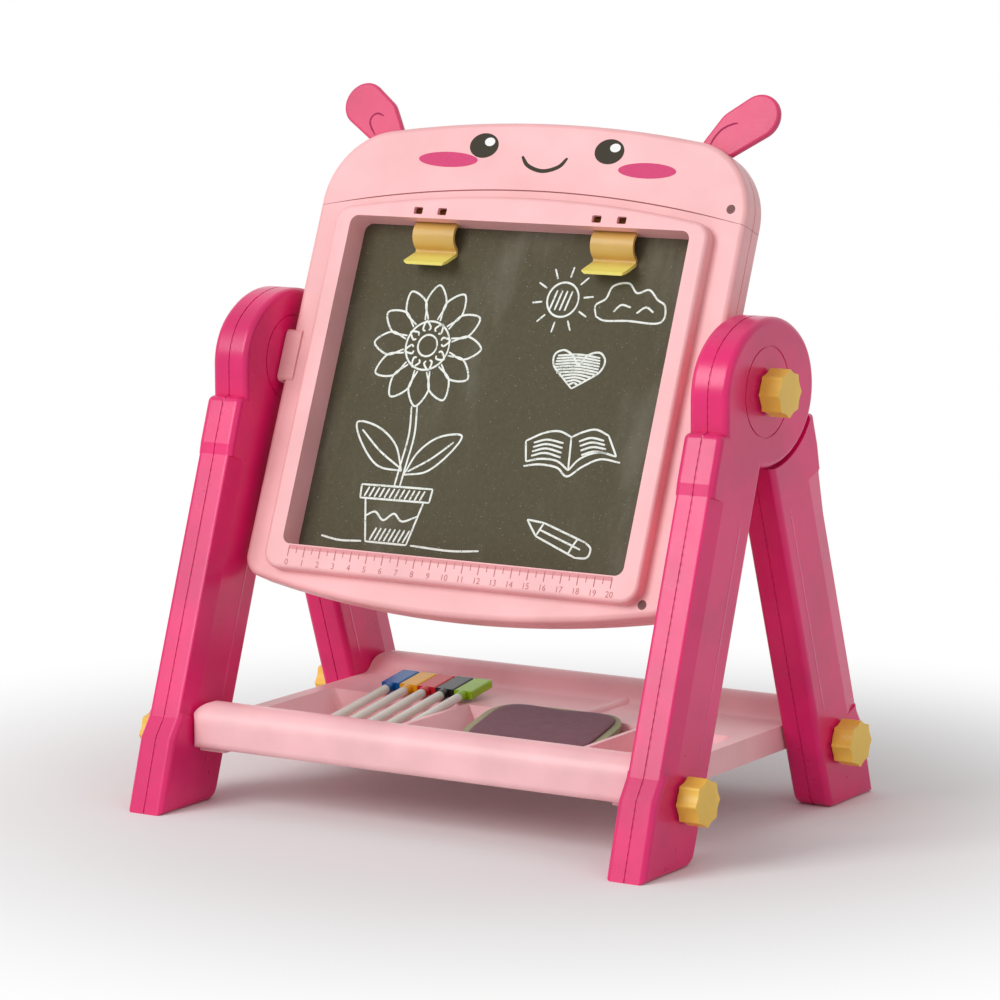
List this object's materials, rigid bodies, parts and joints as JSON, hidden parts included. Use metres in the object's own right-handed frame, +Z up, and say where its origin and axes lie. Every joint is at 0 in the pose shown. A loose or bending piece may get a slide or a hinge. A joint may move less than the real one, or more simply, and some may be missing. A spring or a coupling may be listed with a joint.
{
  "type": "kids easel",
  "caption": "Table-top children's easel: a two-sided drawing board, chalk to the front and white to the back, turns between A-shaped stands above a tray of pens.",
  "frame": {"origin": "on the ground, midway between the outer faces of the two stands and below the board's pivot", "axes": "+X to the easel's right as seen from the chalk side, +Y towards its back, +Z up; the chalk side looks towards -Y"},
  "size_m": [0.3438, 0.2518, 0.38],
  "materials": {
    "stand_magenta": "smooth, moulded",
    "knob_yellow": "smooth, moulded",
    "stud_steel": "plain turned",
    "board_pink": "smooth, moulded",
    "insert_brass": "plain turned",
    "chalkboard_face": "fine matt grain",
    "whiteboard_face": "smooth, wipe-clean",
    "clip_gold": "smooth, moulded",
    "ear_rose": "smooth, moulded",
    "pen_barrel": "smooth, moulded",
    "blue_cap": "smooth, moulded",
    "yellow_cap": "smooth, moulded",
    "red_cap": "smooth, moulded",
    "black_cap": "smooth, moulded",
    "green_cap": "smooth, moulded",
    "pen_felt": "pressed felt",
    "eraser_olive": "foamed",
    "eraser_plum": "pressed felt"
  },
  "bodies": {
    "stand": {"front_leg_left_outer": "stand_magenta", "front_leg_left_inner": "stand_magenta", "front_leg_right_outer": "stand_magenta", "front_leg_right_inner": "stand_magenta", "rear_leg_left_outer": "stand_magenta", "rear_leg_left_inner": "stand_magenta", "rear_leg_right_outer": "stand_magenta", "rear_leg_right_inner": "stand_magenta", "tray": "board_pink", "tray_inserts": "insert_brass"},
    "board": {"front_bezel": "board_pink", "rear_bezel": "board_pink", "header_front": "board_pink", "header_back": "board_pink", "chalkboard": "chalkboard_face", "whiteboard": "whiteboard_face", "ear_left": "ear_rose", "ear_right": "ear_rose", "pivot_block_left": "board_pink", "pivot_block_right": "board_pink", "pivot_insert_left": "insert_brass", "pivot_insert_right": "insert_brass", "clip_pin_left": "stud_steel", "clip_pin_right": "stud_steel"},
    "clip_left": {"clip_left": "clip_gold"},
    "clip_right": {"clip_right": "clip_gold"},
    "pivot_knob_left": {"pivot_knob_left": "knob_yellow", "pivot_stud_left": "stud_steel"},
    "pivot_knob_right": {"pivot_knob_right": "knob_yellow", "pivot_stud_right": "stud_steel"},
    "front_foot_knob_left": {"front_foot_knob_left": "knob_yellow", "front_foot_stud_left": "stud_steel"},
    "front_foot_knob_right": {"front_foot_knob_right": "knob_yellow", "front_foot_stud_right": "stud_steel"},
    "rear_foot_knob_left": {"rear_foot_knob_left": "knob_yellow", "rear_foot_stud_left": "stud_steel"},
    "rear_foot_knob_right": {"rear_foot_knob_right": "knob_yellow", "rear_foot_stud_right": "stud_steel"},
    "blue_pen": {"blue_pen_barrel": "pen_barrel", "blue_pen_cap": "blue_cap", "blue_pen_felt": "pen_felt"},
    "yellow_pen": {"yellow_pen_barrel": "pen_barrel", "yellow_pen_cap": "yellow_cap", "yellow_pen_felt": "pen_felt"},
    "red_pen": {"red_pen_barrel": "pen_barrel", "red_pen_cap": "red_cap", "red_pen_felt": "pen_felt"},
    "black_pen": {"black_pen_barrel": "pen_barrel", "black_pen_cap": "black_cap", "black_pen_felt": "pen_felt"},
    "green_pen": {"green_pen_barrel": "pen_barrel", "green_pen_cap": "green_cap", "green_pen_felt": "pen_felt"},
    "eraser": {"eraser_back": "eraser_olive", "eraser_felt": "eraser_plum"}
  },
  "joints": [
    {"name": "board_turn", "type": "hinge", "parent": "stand", "child": "board", "pos_m": [0, 0, 0.2323], "axis": [1, 0, 0], "continuous": true},
    {"name": "clip_left_lift", "type": "hinge", "parent": "board", "child": "clip_left", "pos_m": [-0.0557, 0.02515, 0.31298], "axis": [-1, 0, 0], "range_deg": [0, 10], "stiffness_Nm_per_rad": 0.05, "springref_deg": -8.59},
    {"name": "clip_right_lift", "type": "hinge", "parent": "board", "child": "clip_right", "pos_m": [0.0557, 0.02515, 0.31298], "axis": [-1, 0, 0], "range_deg": [0, 10], "stiffness_Nm_per_rad": 0.05, "springref_deg": -8.59},
    {"name": "pivot_knob_left_turn", "type": "hinge", "parent": "stand", "child": "pivot_knob_left", "pos_m": [-0.154, 0, 0.2323], "axis": [-1, 0, 0], "continuous": true},
    {"name": "pivot_knob_right_turn", "type": "hinge", "parent": "stand", "child": "pivot_knob_right", "pos_m": [0.154, 0, 0.2323], "axis": [1, 0, 0], "continuous": true},
    {"name": "front_foot_knob_left_turn", "type": "hinge", "parent": "stand", "child": "front_foot_knob_left", "pos_m": [-0.154, -0.084, 0.0353], "axis": [-1, 0, 0], "continuous": true},
    {"name": "front_foot_knob_right_turn", "type": "hinge", "parent": "stand", "child": "front_foot_knob_right", "pos_m": [0.154, -0.084, 0.0353], "axis": [1, 0, 0], "continuous": true},
    {"name": "rear_foot_knob_left_turn", "type": "hinge", "parent": "stand", "child": "rear_foot_knob_left", "pos_m": [-0.154, 0.084, 0.0353], "axis": [-1, 0, 0], "continuous": true},
    {"name": "rear_foot_knob_right_turn", "type": "hinge", "parent": "stand", "child": "rear_foot_knob_right", "pos_m": [0.154, 0.084, 0.0353], "axis": [1, 0, 0], "continuous": true},
    {"name": "blue_pen_lift", "type": "slide", "parent": "stand", "child": "blue_pen", "axis": [0, 0, 1], "range_m": [0, 0.02]},
    {"name": "yellow_pen_lift", "type": "slide", "parent": "stand", "child": "yellow_pen", "axis": [0, 0, 1], "range_m": [0, 0.02]},
    {"name": "red_pen_lift", "type": "slide", "parent": "stand", "child": "red_pen", "axis": [0, 0, 1], "range_m": [0, 0.02]},
    {"name": "black_pen_lift", "type": "slide", "parent": "stand", "child": "black_pen", "axis": [0, 0, 1], "range_m": [0, 0.02]},
    {"name": "green_pen_lift", "type": "slide", "parent": "stand", "child": "green_pen", "axis": [0, 0, 1], "range_m": [0, 0.02]},
    {"name": "eraser_lift", "type": "slide", "parent": "stand", "child": "eraser", "axis": [0, 0, 1], "range_m": [0, 0.02]}
  ]
}
